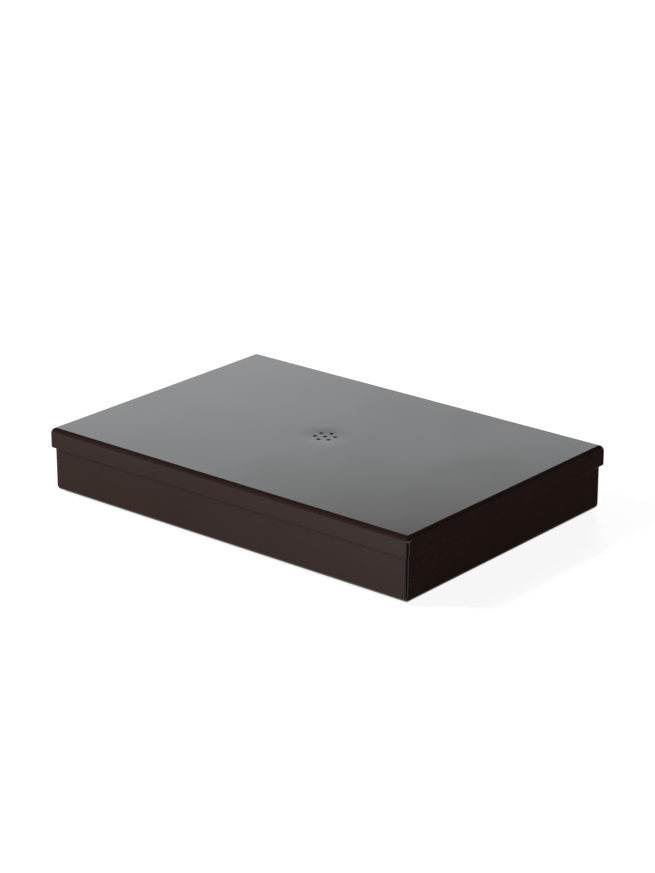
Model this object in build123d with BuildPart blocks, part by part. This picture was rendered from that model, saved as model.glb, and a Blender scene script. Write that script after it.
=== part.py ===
"""Lidded cable tray for a desk, folded from sheet steel.

The tray stands on four rubber feet. Its lid drops over the walls and lifts straight
off, and seven small holes in the middle of the lid let warm air out. Leads leave
through a notch in the rear wall, which is lined with rubber and open to the rim, so
that a plug never has to be threaded through it.

X runs along the length, -Y is the front and +Z is up. The origin lies on the surface
that the feet stand on, under the middle of the tray. All sizes are in millimetres.
"""

from build123d import *
import os

os.makedirs("parts", exist_ok=True)

# ---- The closed box ----
lid_length = 360.0
lid_width = 248.0
box_height = 52.5          # underside of the tray to the top of the lid
skirt_height = 16.0        # top of the lid to the lower edge of its skirt

# ---- Sheet and folds ----
sheet = 1.2                # thickness of the steel, coating included
fold_inside = 3.0          # inside radius of the folds round the lid and the floor
corner_inside = 2.0        # inside radius of the upright corners
lid_gap = 1.3              # clearance between skirt and tray, all round
hem_height = 8.0           # depth of the rim that is folded back inside
rim_land = 0.2             # half the flat left on top of that fold
seat_clearance = 0.15      # between the folds of the lid and the round rim they sit on
skirt_round = 0.5          # coating rounds the outer edge of the skirt

# ---- Vent in the middle of the lid ----
vent_hole_diameter = 3.5
vent_pitch = 8.0           # from one hole to the next
dish_diameter = 50.0       # sheet pressed down a little where the holes are punched
dish_hollow = 24.0         # diameter at which the hollow turns into the shoulder round it
dish_depth = 0.25

# ---- Cable outlet in the rear wall ----
outlet_width = 40.0
outlet_sill = 14.0         # underside of the tray to the lower edge of the cut
outlet_corner = 6.0
trim_web = 1.0             # rubber over the cut edge
trim_lip = 3.0             # how far the rubber laps over the sheet beside the cut
trim_lip_thickness = 0.8
trim_drop = 1.5            # how far the trim stops below the rim
trim_bevel = 0.3           # on the edges of the moulded lips
hem_relief = 2.0           # clearance between the hem and the trim

# ---- Feet ----
foot_diameter = 12.0
foot_height = 2.0
foot_inset = 20.0          # wall of the tray to the middle of a foot
foot_sole = 10.4           # diameter of the face that touches the desk
foot_bevel = 0.7           # height of the bevel round it

# ---- Worked out from the sizes above ----
fold_outside = fold_inside + sheet
corner_outside = corner_inside + sheet
tray_length = lid_length - 2 * (sheet + lid_gap)
tray_width = lid_width - 2 * (sheet + lid_gap)
tray_bottom = foot_height
lid_top = tray_bottom + box_height
lid_underside = lid_top - sheet
hem_round = sheet - rim_land
fold_reach = max(fold_inside - hem_round, 0)    # from the centre of the fold to that of
fold_side = max(fold_reach - lid_gap, 0)        # the hem, and its share along the lid
fold_rise = (fold_reach**2 - fold_side**2) ** 0.5
rim = lid_underside - (fold_reach - fold_rise) - seat_clearance
skirt_edge = lid_top - skirt_height
vent_ring = 6
vent_ring_start = 30       # puts two holes of the ring on the centre line along Y
rear_wall = Plane.XZ.offset(-tray_width / 2)   # outer face, looking into the tray
past_the_hem = 3 * sheet   # deep enough to cut through the wall and its hem


# ---- Lid ----
# One blank with its four sides folded down. The corners are welded and ground
# round, so the skirt has no seam and the top corners flow from one fold to the next.
with BuildPart() as lid:
    with BuildSketch(Plane.XY.offset(skirt_edge)):
        Rectangle(lid_length, lid_width)
    extrude(amount=skirt_height)
    fillet(lid.edges().filter_by(Axis.Z), corner_outside)
    fillet(lid.faces().sort_by(Axis.Z)[-1].edges(), fold_outside)
    offset(amount=-sheet, openings=lid.faces().sort_by(Axis.Z)[0])
    cut_edge = lid.faces().sort_by(Axis.Z)[0]
    fillet(cut_edge.outer_wire().edges(), skirt_round)

    # The punched middle is dished: a disc of the sheet, turned about the Z axis,
    # takes the place of the flat one. A hollow arc and a shoulder arc meet on the
    # straight line from the lowest point to the edge, which lets both end level.
    with BuildSketch(Plane.XY.offset(lid_top)):
        Circle(dish_diameter / 2)
    extrude(amount=-sheet, mode=Mode.SUBTRACT)
    with BuildSketch(Plane.XZ):
        with BuildLine():
            faces = []
            for surface in (lid_top, lid_underside):
                turn_height = surface - dish_depth * (1 - dish_hollow / dish_diameter)
                hollow = TangentArc(
                    (0, surface - dish_depth), (dish_hollow / 2, turn_height), tangent=(1, 0)
                )
                shoulder = TangentArc(
                    hollow @ 1, (dish_diameter / 2, surface), tangent=hollow % 1
                )
                faces.append((hollow @ 0, shoulder @ 1))
            for upper_end, lower_end in zip(*faces):
                Line(upper_end, lower_end)
        make_face()
    revolve(axis=Axis.Z)

    # Vent holes: one in the middle and a ring of six around it.
    with Locations((0, 0, lid_top)):
        Hole(vent_hole_diameter / 2)
        with PolarLocations(vent_pitch, vent_ring, start_angle=vent_ring_start):
            Hole(vent_hole_diameter / 2)

lid.part.label = "lid"
export_step(lid.part, "parts/lid.step")


# ---- Outline of the cable outlet ----
def outlet_outline(grow, top):
    """U shape of the cut, moved out by grow, from below its sill up to top."""
    bottom = tray_bottom + outlet_sill - grow
    with BuildSketch() as outline:
        with Locations((0, bottom)):
            Rectangle(outlet_width + 2 * grow, top - bottom, align=(Align.CENTER, Align.MIN))
        fillet(outline.vertices().group_by(Axis.Y)[0], outlet_corner + grow)
    return outline.sketch


outlet_cut = outlet_outline(0, lid_top)
hem_cut = outlet_outline(trim_lip + hem_relief, lid_top)
trim_top = rim - trim_drop
lip_outline = outlet_outline(trim_lip, trim_top)
clear_opening = outlet_outline(-trim_web, lid_top)


# ---- Tray ----
# Folded from one blank like the lid. The rim is a closed hem, folded back inside,
# which stiffens the walls and gives the folds of the lid a round edge to sit on.
with BuildPart() as tray:
    with BuildSketch(Plane.XY.offset(tray_bottom)):
        Rectangle(tray_length, tray_width)
    extrude(amount=rim - tray_bottom)
    fillet(tray.edges().filter_by(Axis.Z), corner_outside)
    fillet(tray.faces().sort_by(Axis.Z)[0].edges(), fold_outside)
    offset(amount=-sheet, openings=tray.faces().sort_by(Axis.Z)[-1])

    with BuildSketch(Plane.XY.offset(rim)):
        RectangleRounded(tray_length - 2 * sheet, tray_width - 2 * sheet, corner_inside)
        offset(amount=-sheet, mode=Mode.SUBTRACT)
    extrude(amount=-hem_height)
    fillet(tray.faces().sort_by(Axis.Z)[-1].edges(), hem_round)

    # The notch for the leads, and the hem cut back to leave room for its trim.
    with BuildSketch(rear_wall):
        add(outlet_cut)
    extrude(amount=past_the_hem, both=True, mode=Mode.SUBTRACT)
    with BuildSketch(rear_wall.offset(sheet)):
        add(hem_cut)
    extrude(amount=past_the_hem, mode=Mode.SUBTRACT)

tray.part.label = "tray"
export_step(tray.part, "parts/tray.step")


# ---- Outlet trim ----
# Moulded rubber channel, pushed down over the cut edge of the notch.
with BuildPart() as outlet_trim:
    with BuildSketch(rear_wall.offset(-trim_lip_thickness)):
        add(lip_outline)
        add(clear_opening, mode=Mode.SUBTRACT)
    extrude(amount=sheet + 2 * trim_lip_thickness)
    lip_faces = outlet_trim.faces().sort_by(Axis.Y)
    chamfer(lip_faces[0].edges() + lip_faces[-1].edges(), trim_bevel)

    # The slot that grips the sheet.
    with BuildSketch(rear_wall):
        add(lip_outline)
        add(outlet_cut, mode=Mode.SUBTRACT)
    extrude(amount=sheet, mode=Mode.SUBTRACT)

outlet_trim.part.label = "outlet_trim"
export_step(outlet_trim.part, "parts/outlet_trim.step")


# ---- Feet ----
# Moulded rubber pads stuck under the four corners of the tray.
for row, toward_y in (("front", -1), ("rear", 1)):
    for end, toward_x in (("left", -1), ("right", 1)):
        foot_middle = Plane(
            origin=(
                toward_x * (tray_length / 2 - foot_inset),
                toward_y * (tray_width / 2 - foot_inset),
                0,
            ),
            x_dir=(1, 0, 0),
            z_dir=(0, -1, 0),
        )
        with BuildPart() as foot:
            with BuildSketch(foot_middle):
                with BuildLine():
                    Polyline(
                        (0, 0),
                        (foot_sole / 2, 0),
                        (foot_diameter / 2, foot_bevel),
                        (foot_diameter / 2, foot_height),
                        (0, foot_height),
                        close=True,
                    )
                make_face()
            revolve(axis=Axis(foot_middle.origin, (0, 0, 1)))
        foot.part.label = f"foot_{row}_{end}"
        export_step(foot.part, f"parts/foot_{row}_{end}.step")
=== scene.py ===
"""Looks of a lidded cable tray for a desk: dark brown powder-coated sheet steel, a
rubber-lined outlet in the rear wall and four rubber feet. The CAD solids carry the shape;
this file gives them their finishes and sets up the floor, the lamps and the camera.
Everything is in metres, in the frame of the CAD model: -Y is the front, +Z is up."""

from math import cos, pi, radians, sin, tan

import bpy
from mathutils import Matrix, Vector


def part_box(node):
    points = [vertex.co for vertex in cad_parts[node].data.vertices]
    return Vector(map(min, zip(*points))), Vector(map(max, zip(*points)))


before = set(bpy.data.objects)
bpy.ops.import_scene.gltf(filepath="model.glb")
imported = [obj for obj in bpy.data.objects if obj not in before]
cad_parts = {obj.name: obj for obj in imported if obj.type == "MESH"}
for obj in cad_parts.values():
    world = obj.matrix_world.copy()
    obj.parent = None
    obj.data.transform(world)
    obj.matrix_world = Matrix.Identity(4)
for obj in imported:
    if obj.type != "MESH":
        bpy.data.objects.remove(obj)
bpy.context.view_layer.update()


# ---- Tray ----
# The lower half of the box: one blank of 1.2 mm steel with its walls folded up, the
# corners welded and ground round, and the rim folded back inside as a closed hem. It is
# powder coated after the welding, in the same batch as the lid.
mm = 0.001


def linear(hex_colour):
    """An sRGB hex colour as the linear RGBA that a shader socket takes."""
    parts = [int(hex_colour[i:i + 2], 16) / 255 for i in (1, 3, 5)]
    return [c / 12.92 if c <= 0.04045 else ((c + 0.055) / 1.055) ** 2.4
            for c in parts] + [1.0]


def bare_material(name):
    """A new material, and its node tree with nothing in it yet."""
    made = bpy.data.materials.new(name)
    made.use_nodes = True
    made.node_tree.nodes.clear()
    return made, made.node_tree


def add_node(tree, kind, inputs, **properties):
    """Adds a node. Each input, by name or number, gets a value or the socket that
    feeds it."""
    made = tree.nodes.new(kind)
    for name, value in properties.items():
        setattr(made, name, value)
    for key, value in inputs.items():
        if isinstance(value, bpy.types.NodeSocket):
            tree.links.new(value, made.inputs[key])
        else:
            made.inputs[key].default_value = value
    return made


def finish_piece(name, material):
    """Gives a piece of the CAD model its finish."""
    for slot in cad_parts[name].material_slots:
        slot.material = material


# Powder-coated steel: polyester powder, sprayed on dry and baked. It melts into an even
# skin with a semi-gloss shine. Close up there is a faint orange peel and a fine grain of
# pigment, and the tone drifts a little from one pass of the spray gun to the next.
coat_brown = "#312320"
coat_brown_light = "#362724"
pigment_speck = "#3b2b27"
speck_strength = 0.12          # how much of the speck's colour the grain brings in
pigment_grain = 0.9 * mm       # the real grain is 0.1 mm, drawn coarser so that it shows
spray_pass = 70 * mm           # width of one pass of the gun
peel_wave = 2.4 * mm           # from one swell of the orange peel to the next
peel_height = 0.0008 * mm
glossiest, dullest = 0.11, 0.15            # roughness, from one pass to the next
noise_low, noise_high = 0.3, 0.7           # nearly all of a noise lies between these

powder_coat, coat = bare_material("powder_coated_steel_brown")
coat_place = add_node(coat, "ShaderNodeTexCoord", {}).outputs["Object"]
passes = add_node(coat, "ShaderNodeTexNoise", {
    "Vector": coat_place, "Scale": 1 / spray_pass, "Detail": 2.0, "Roughness": 0.5})
grain = add_node(coat, "ShaderNodeTexNoise", {
    "Vector": coat_place, "Scale": 1 / pigment_grain, "Detail": 1.0, "Roughness": 0.6})
peel = add_node(coat, "ShaderNodeTexNoise", {
    "Vector": coat_place, "Scale": 1 / peel_wave, "Detail": 1.5, "Roughness": 0.45})
tone = add_node(coat, "ShaderNodeMix", {
    0: passes.outputs["Fac"], 6: linear(coat_brown), 7: linear(coat_brown_light)},
    data_type="RGBA")
specks = add_node(coat, "ShaderNodeMapRange", {
    "Value": grain.outputs["Fac"], "From Min": noise_low, "From Max": noise_high,
    "To Min": 0.0, "To Max": speck_strength})
speckled = add_node(coat, "ShaderNodeMix", {
    0: specks.outputs["Result"], 6: tone.outputs[2], 7: linear(pigment_speck)},
    data_type="RGBA")
shine = add_node(coat, "ShaderNodeMapRange", {
    "Value": passes.outputs["Fac"], "From Min": noise_low, "From Max": noise_high,
    "To Min": glossiest, "To Max": dullest})
swell = add_node(coat, "ShaderNodeBump", {
    "Height": peel.outputs["Fac"], "Strength": 1.0, "Distance": peel_height})
coated = add_node(coat, "ShaderNodeBsdfPrincipled", {
    "Base Color": speckled.outputs[2], "Roughness": shine.outputs["Result"], "IOR": 1.45,
    "Normal": swell.outputs["Normal"]})
add_node(coat, "ShaderNodeOutputMaterial", {"Surface": coated.outputs["BSDF"]})

finish_piece("tray", powder_coat)


# ---- Feet ----
# Four moulded rubber pads, 12 mm across and 2 mm high, stuck under the corners of the
# tray so that it doesn't slide or scratch the desk.

# Rubber: EPDM, moulded. Matt and nearly black, with the fine grain of the mould and a
# little dust.
rubber_black = "#1c1b1b"
rubber_dusty = "#2a2928"
mould_grain = 0.35 * mm
mould_depth = 0.02 * mm
dust_patch = 6 * mm
smoothest, roughest = 0.58, 0.78           # roughness over the grain of the mould

rubber, compound = bare_material("moulded_rubber_black")
rubber_place = add_node(compound, "ShaderNodeTexCoord", {}).outputs["Object"]
mould = add_node(compound, "ShaderNodeTexNoise", {
    "Vector": rubber_place, "Scale": 1 / mould_grain, "Detail": 3.0})
dust = add_node(compound, "ShaderNodeTexNoise", {
    "Vector": rubber_place, "Scale": 1 / dust_patch, "Detail": 3.0})
dusted = add_node(compound, "ShaderNodeMix", {
    0: dust.outputs["Fac"], 6: linear(rubber_black), 7: linear(rubber_dusty)},
    data_type="RGBA")
matt = add_node(compound, "ShaderNodeMapRange", {
    "Value": mould.outputs["Fac"], "From Min": noise_low, "From Max": noise_high,
    "To Min": smoothest, "To Max": roughest})
mould_marks = add_node(compound, "ShaderNodeBump", {
    "Height": mould.outputs["Fac"], "Strength": 1.0, "Distance": mould_depth})
moulded = add_node(compound, "ShaderNodeBsdfPrincipled", {
    "Base Color": dusted.outputs[2], "Roughness": matt.outputs["Result"], "IOR": 1.5,
    "Normal": mould_marks.outputs["Normal"]})
add_node(compound, "ShaderNodeOutputMaterial", {"Surface": moulded.outputs["BSDF"]})

for corner in ("front_left", "front_right", "rear_left", "rear_right"):
    finish_piece("foot_" + corner, rubber)


# ---- Outlet trim ----
# A moulded rubber channel pushed over the cut edge of the notch in the rear wall. It has
# the finish of the feet and keeps the leads off the steel.
finish_piece("outlet_trim", rubber)


# ---- Lid ----
# The upper half: a flat sheet with a 16 mm skirt folded down all round. Seven vent holes
# are punched through its slightly dished middle. It drops over the tray and has the same
# coat.
finish_piece("lid", powder_coat)


# ---- Floor and room ----
# A plain pale floor that runs on into a plain white room. Round the tray the floor shows
# the light and the shadow that fall on it, and farther off it is even white. The white is
# only what is seen: neither the floor nor the room lights the tray with it.
floor_size = 12.0
floor_drop = 0.1 * mm          # below the soles of the feet
floor_grey = "#b4b4b4"
white_near_tray = 0.9          # leaves room for the light that falls on the floor
shadow_ends = (0.4, 1.6)       # distances over which the floor turns into even white
room_light = 0.05              # the little light that the room itself sheds


def seen_directly(tree):
    """1 for what the camera, a mirror or a pane shows, 0 for the light that falls on
    things from there."""
    rays = add_node(tree, "ShaderNodeLightPath", {}).outputs
    either = add_node(tree, "ShaderNodeMath", {
        0: rays["Is Camera Ray"], 1: rays["Is Glossy Ray"]}, operation="ADD")
    return add_node(tree, "ShaderNodeMath", {
        0: either.outputs[0], 1: rays["Is Transmission Ray"]},
        operation="ADD", use_clamp=True).outputs[0]


floor_paint, ground = bare_material("pale_floor")
floor_place = add_node(ground, "ShaderNodeNewGeometry", {}).outputs["Position"]
from_tray = add_node(ground, "ShaderNodeVectorMath", {0: floor_place}, operation="LENGTH")
far = add_node(ground, "ShaderNodeMapRange", {
    "Value": from_tray.outputs["Value"],
    "From Min": shadow_ends[0], "From Max": shadow_ends[1]},
    interpolation_type="SMOOTHSTEP").outputs["Result"]
glow = add_node(ground, "ShaderNodeMapRange", {
    "Value": far, "To Min": white_near_tray, "To Max": 1.0})
white = add_node(ground, "ShaderNodeEmission", {"Strength": glow.outputs["Result"]})
matt_floor = add_node(ground, "ShaderNodeBsdfDiffuse", {"Color": linear(floor_grey)})
fading = add_node(ground, "ShaderNodeMixShader", {0: far, 1: matt_floor.outputs[0]})
lit = add_node(ground, "ShaderNodeAddShader", {0: fading.outputs[0], 1: white.outputs[0]})
switch = add_node(ground, "ShaderNodeMixShader", {
    0: seen_directly(ground), 1: matt_floor.outputs[0], 2: lit.outputs[0]})
add_node(ground, "ShaderNodeOutputMaterial", {"Surface": switch.outputs[0]})

bpy.ops.mesh.primitive_plane_add(size=floor_size, location=(0, 0, -floor_drop))
floor = bpy.context.object
floor.name = "floor"
floor.data.materials.append(floor_paint)
floor.visible_shadow = False   # lets the lamps below it through, as a glass top does

room = bpy.data.worlds.new("pale_room")
room.use_nodes = True
air = room.node_tree
air.nodes.clear()
room_level = add_node(air, "ShaderNodeMapRange", {
    "Value": seen_directly(air), "To Min": room_light, "To Max": 1.0})
sky = add_node(air, "ShaderNodeBackground", {
    "Color": linear("#ffffff"), "Strength": room_level.outputs["Result"]})
add_node(air, "ShaderNodeOutputWorld", {"Surface": sky.outputs[0]})
bpy.context.scene.world = room


# ---- Lamps ----
# Soft boxes of a small studio with a glowing table top. The low lamp at the front left
# and the side lamp at the rear right stand below the floor and shine up through it, onto
# the front and the right wall. The high lamp adds the shadow under the skirt, and the
# back lamp lights the lid and the rear.
def soft_box(name, azimuth, elevation, distance, size, watts):
    """An area lamp that faces the tray. Its azimuth is counted from -Y (the front)
    towards +X, and a negative elevation puts it below the floor."""
    data = bpy.data.lights.new(name, "AREA")
    data.shape, data.energy = "RECTANGLE", watts
    data.size, data.size_y = size
    lamp = bpy.data.objects.new(name, data)
    bpy.context.scene.collection.objects.link(lamp)
    a, e = radians(azimuth), radians(elevation)
    lamp.location = (distance * sin(a) * cos(e), -distance * cos(a) * cos(e),
                     distance * sin(e))
    lamp.rotation_euler = (pi / 2 - e, 0, a)
    lamp.visible_glossy = False


soft_box("low_lamp", azimuth=-50, elevation=-20, distance=6.0, size=(2.4, 0.6), watts=312)
soft_box("high_lamp", azimuth=-50, elevation=38, distance=4.0, size=(0.8, 0.8), watts=106)
soft_box("back_lamp", azimuth=-150, elevation=32, distance=3.0, size=(0.8, 0.8), watts=22)
soft_box("side_lamp", azimuth=125, elevation=-15, distance=3.0, size=(0.8, 0.4), watts=31)


# ---- Cards ----
# Flat cards round the tray, which only mirrored rays see. The lid mirrors a glowing one
# that stands behind it. Grey and black ones above, beside and at the foot of the tray
# keep its folds and walls from mirroring the white room and floor.
def card(name, corners, glow=(0.0, 0.0), rise=(0.0, 1.0), fade=(1.0, 1.0),
         span=(0.0, 1.0), colour="#ffffff"):
    """A card whose glow changes over rise, a part of its height, and fades over span, a
    part of its width. The corners run round it from the lower left."""
    paint, tree = bare_material(name)
    on_card = add_node(tree, "ShaderNodeUVMap", {}).outputs["UV"]
    place = add_node(tree, "ShaderNodeSeparateXYZ", {0: on_card}).outputs
    upwards = add_node(tree, "ShaderNodeMapRange", {
        "Value": place["Y"], "From Min": rise[0], "From Max": rise[1],
        "To Min": glow[0], "To Max": glow[1]}, interpolation_type="SMOOTHSTEP")
    across = add_node(tree, "ShaderNodeMapRange", {
        "Value": place["X"], "From Min": span[0], "From Max": span[1],
        "To Min": fade[0], "To Max": fade[1]})
    strength = add_node(tree, "ShaderNodeMath", {
        0: upwards.outputs["Result"], 1: across.outputs["Result"]}, operation="MULTIPLY")
    light = add_node(tree, "ShaderNodeEmission", {
        "Color": linear(colour), "Strength": strength.outputs[0]})
    add_node(tree, "ShaderNodeOutputMaterial", {"Surface": light.outputs[0]})

    mesh = bpy.data.meshes.new(name)
    mesh.from_pydata(corners, [], [range(4)])
    corner_uv = mesh.uv_layers.new(name="UVMap").data
    for loop, uv in zip(corner_uv, ((0, 0), (1, 0), (1, 1), (0, 1))):
        loop.uv = uv
    mesh.materials.append(paint)
    made = bpy.data.objects.new(name, mesh)
    bpy.context.scene.collection.objects.link(made)
    made.visible_camera = made.visible_diffuse = made.visible_shadow = False
    made.visible_transmission = made.visible_volume_scatter = False


# The glowing card, upright and far behind the rear left corner. The front of the lid
# mirrors its upper part, where the glow falls off, and the right of the lid mirrors its
# dimmer end.
glowing_distance, glowing_azimuth = 8.0, 40
card_left, card_right = 62, 22             # azimuths of its upright edges
card_foot = 4                              # elevation of its lower edge
card_top_left, card_top_right = 25.45, 24.55


def behind(azimuth, elevation):
    """The point of the glowing card at that azimuth, counted from +Y towards -X, and
    elevation."""
    flat_distance = glowing_distance / cos(radians(azimuth - glowing_azimuth))
    a = radians(azimuth)
    return (-flat_distance * sin(a), flat_distance * cos(a),
            flat_distance * tan(radians(elevation)))


card("glowing_card", [behind(card_left, card_foot), behind(card_right, card_foot),
                      behind(card_right, card_top_right),
                      behind(card_left, card_top_left)],
     glow=(1.66, 0.41), rise=(0.785, 0.893),
     fade=(1.0, 0.86), span=(0.46, 0.66), colour="#f7fdff")

# A black ceiling, square and level, for the upper parts of the folds.
ceiling_reach, ceiling_height = 3.8, 1.35  # middle to a corner, and above the floor
ceiling_turns = (-5, 85, 175, 265)         # of its corners, from +X towards +Y
card("ceiling_card", [
    (ceiling_reach * cos(radians(turn)), ceiling_reach * sin(radians(turn)),
     ceiling_height)
    for turn in ceiling_turns])


# Two cards that stand on the floor, for the lower parts of the folds.
def upright(left_foot, right_foot, height=1.4):
    """The corners of a card that stands on the floor between two points, given in X
    and Y."""
    return [(*left_foot, 0.0), (*right_foot, 0.0),
            (*right_foot, height), (*left_foot, height)]


card("rear_right_card", upright((0.83, 2.05), (1.71, 1.07)),
     glow=(0.0, 0.04), rise=(0.0, 0.3))
card("front_left_card", upright((-1.21, -2.38), (-2.48, -1.32)),
     glow=(0.3, 0.05), rise=(0.0, 0.15))

# A small bright card, which the lid's front right corner shows as a glint.
glint_x, glint_y, glint_z = 1.8, -0.78, 1.19
glint_half, glint_glow = 0.15, 14.0
card("glint_card", [(glint_x, glint_y + across * glint_half, glint_z + up * glint_half)
                    for across, up in ((-1, -1), (1, -1), (1, 1), (-1, 1))],
     glow=(glint_glow, glint_glow))

# Three cards just above the floor, at the foot of the two walls. The one before the front
# is grey, darker close to the wall and lighter towards the corner. Between the black ones
# a strip of white floor is left, which gives the upright corner its highlight.
tray_low, tray_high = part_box("tray")
wall_right, wall_front = tray_high[0], tray_low[1]
card_gap = 1 * mm                          # from the faces of the walls to the cards
strip_front, strip_rear = wall_front - 4.5 * mm, wall_front - 3 * mm
front_reach, rear_reach = 0.75, 2.6        # how far the cards go
mouth_front, mouth_rear = -0.405, -0.1745  # Y of the strip's wide end, at the right
card_lift = 0.4 * mm                       # the cards lie just above the floor


def on_floor(*corners):
    """The corners of a card that lies on the floor, from their X and Y."""
    return [(x, y, card_lift) for x, y in corners]


card("front_floor_card", on_floor(
    (wall_right - card_gap, wall_front - card_gap), (-front_reach, wall_front - card_gap),
    (-front_reach, -front_reach), (wall_right - card_gap, -front_reach)),
     glow=(0.16, 0.36), rise=(0.0, 0.25), fade=(1.9, 0.98), span=(0.0, 0.28))
card("corner_floor_card", on_floor(
    (wall_right + card_gap, strip_front), (wall_right + card_gap, -front_reach),
    (front_reach, -front_reach), (front_reach, mouth_front)))
card("right_floor_card", on_floor(
    (wall_right + card_gap, strip_rear), (front_reach, mouth_rear),
    (rear_reach, rear_reach), (wall_right + card_gap, rear_reach)))


# ---- Camera ----
# A long lens, held level from side to side, looking down at the front right corner.
focal_length, film_width = 106.95, 36.0    # both in millimetres
camera_place = (1.21793, -1.46381, 0.75098)
looks_down, turned_left = 20.095, 39.7025  # degrees, from level and from straight ahead

lens = bpy.data.cameras.new("camera")
lens.lens, lens.sensor_width = focal_length, film_width
camera = bpy.data.objects.new("camera", lens)
bpy.context.scene.collection.objects.link(camera)
camera.location = camera_place
camera.rotation_euler = (radians(90 - looks_down), 0, radians(turned_left))
bpy.context.scene.camera = camera
bpy.context.scene.view_settings.view_transform = "Standard"
